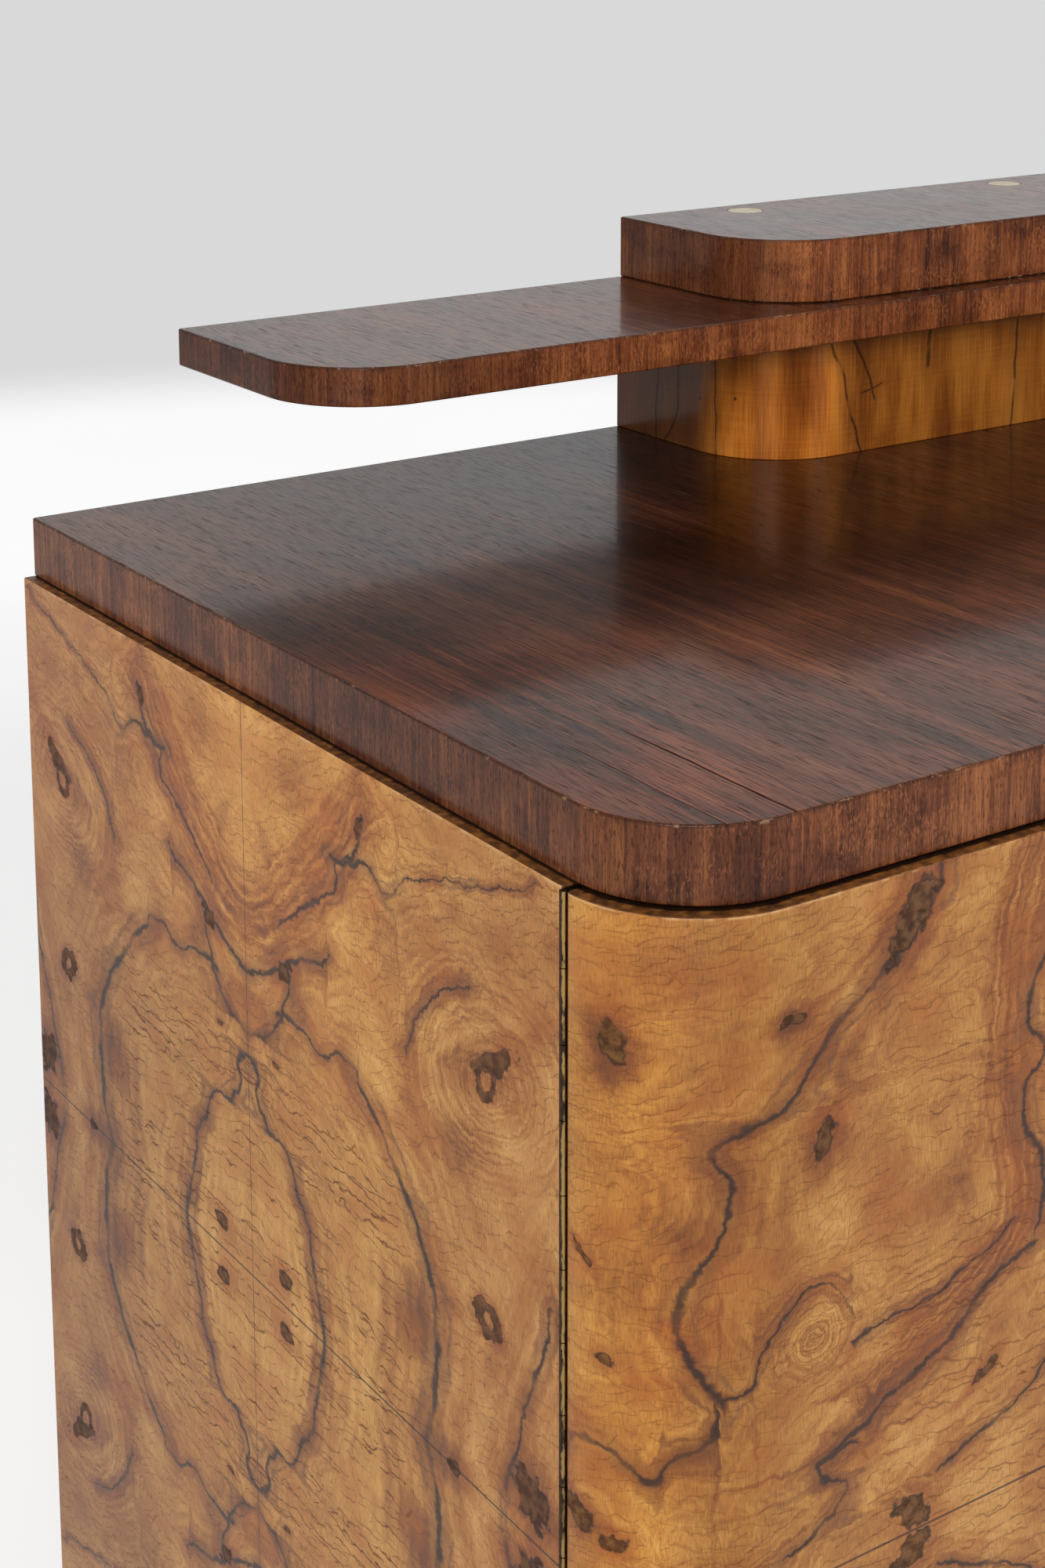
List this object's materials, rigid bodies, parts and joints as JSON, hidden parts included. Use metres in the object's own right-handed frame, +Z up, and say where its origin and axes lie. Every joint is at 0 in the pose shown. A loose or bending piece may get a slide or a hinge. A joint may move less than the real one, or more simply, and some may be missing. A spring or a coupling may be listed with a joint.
{
  "type": "sideboard with stepped display shelf",
  "caption": "Long veneered sideboard with rounded corner doors on piano hinges, a dark slab top and a stepped display shelf along the back.",
  "frame": {"origin": "bottom centre of the whole piece, on the floor", "axes": "+Z up, +X along the length to the right seen from the front, the front faces -Y"},
  "size_m": [1.9826, 0.57, 0.8305],
  "materials": {
    "burr_veneer": "french polished burr veneer on a solid core",
    "dark_veneer": "polished dark straight-grained veneer",
    "riser_veneer": "polished walnut veneer",
    "carcass_wood": "oiled plain wood",
    "plywood": "plain plywood",
    "brass": "aged brass",
    "steel": "plain steel",
    "cream_disc": "polished cream disc"
  },
  "bodies": {
    "carcass": {"bottom_board": "carcass_wood", "catch_bodies": "brass", "catch_rollers": "steel", "cover_discs": "cream_disc", "display_shelf": "dark_veneer", "hinge_pins": "brass", "left_back_panel": "plywood", "left_inner_hinge_fixed_leaf": "brass", "left_outer_hinge_fixed_leaf": "brass", "left_partition": "carcass_wood", "left_plinth_corner_block": "dark_veneer", "left_plinth_side_rail": "dark_veneer", "left_shelf": "carcass_wood", "left_side_panel": "burr_veneer", "left_stile": "dark_veneer", "middle_back_panel": "plywood", "middle_shelf": "carcass_wood", "plinth_back_rail": "carcass_wood", "plinth_cross_rails": "carcass_wood", "plinth_front_rail": "dark_veneer", "plinth_glue_blocks": "carcass_wood", "right_back_panel": "plywood", "right_inner_hinge_fixed_leaf": "brass", "right_outer_hinge_fixed_leaf": "brass", "right_partition": "carcass_wood", "right_plinth_corner_block": "dark_veneer", "right_plinth_side_rail": "dark_veneer", "right_shelf": "carcass_wood", "right_side_panel": "burr_veneer", "right_stile": "dark_veneer", "riser_block": "riser_veneer", "shelf_battens": "carcass_wood", "shelf_bolts": "steel", "slab_top": "dark_veneer", "top_board": "carcass_wood", "upper_block": "dark_veneer"},
    "left_outer_door": {"left_outer_catch_tongue": "brass", "left_outer_door": "burr_veneer", "left_outer_hinge_door_leaf": "brass", "left_outer_knob": "dark_veneer"},
    "left_inner_door": {"left_inner_catch_tongue": "brass", "left_inner_door": "burr_veneer", "left_inner_hinge_door_leaf": "brass", "left_inner_knob": "dark_veneer"},
    "right_inner_door": {"right_inner_catch_tongue": "brass", "right_inner_door": "burr_veneer", "right_inner_hinge_door_leaf": "brass", "right_inner_knob": "dark_veneer"},
    "right_outer_door": {"right_outer_catch_tongue": "brass", "right_outer_door": "burr_veneer", "right_outer_hinge_door_leaf": "brass", "right_outer_knob": "dark_veneer"}
  },
  "joints": [
    {"name": "left_outer_hinge", "type": "hinge", "parent": "carcass", "child": "left_outer_door", "pos_m": [-0.9898, -0.201, 0.385], "axis": [0, 0, -1], "range_deg": [0, 135]},
    {"name": "left_inner_hinge", "type": "hinge", "parent": "carcass", "child": "left_inner_door", "pos_m": [-0.48245, -0.2588, 0.385], "axis": [0, 0, -1], "range_deg": [0, 115]},
    {"name": "right_inner_hinge", "type": "hinge", "parent": "carcass", "child": "right_inner_door", "pos_m": [0.48245, -0.2588, 0.385], "axis": [0, 0, 1], "range_deg": [0, 115]},
    {"name": "right_outer_hinge", "type": "hinge", "parent": "carcass", "child": "right_outer_door", "pos_m": [0.9898, -0.201, 0.385], "axis": [0, 0, 1], "range_deg": [0, 135]}
  ]
}
